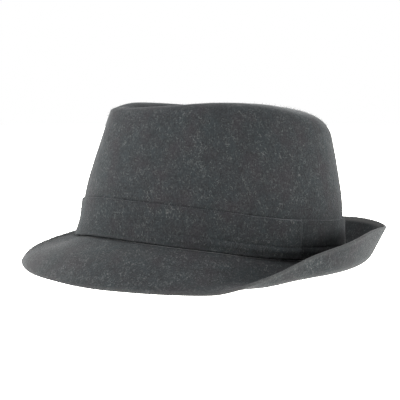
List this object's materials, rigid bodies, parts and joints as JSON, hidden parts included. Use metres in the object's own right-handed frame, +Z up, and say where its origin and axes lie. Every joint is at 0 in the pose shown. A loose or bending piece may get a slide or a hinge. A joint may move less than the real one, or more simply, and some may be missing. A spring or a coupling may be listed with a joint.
{
  "type": "trilby hat",
  "caption": "Cloth trilby with a teardrop dent in the crown, a band of the same cloth, and a brim snapped down in front and rolled up behind.",
  "frame": {"origin": "on the table that the hat stands on, under the middle of its outline from above", "axes": "front of the hat to -Y, back to +Y, the wearer's left to +X, up is +Z"},
  "size_m": [0.2596, 0.2814, 0.1252],
  "materials": {
    "crown_cloth": "matte charcoal melange wool flannel",
    "band_cloth": "matte charcoal melange wool flannel, folded strip",
    "brim_cloth": "matte charcoal melange wool flannel, two layers"
  },
  "bodies": {
    "root": {"crown": "crown_cloth", "band": "band_cloth", "brim": "brim_cloth"}
  },
  "joints": []
}
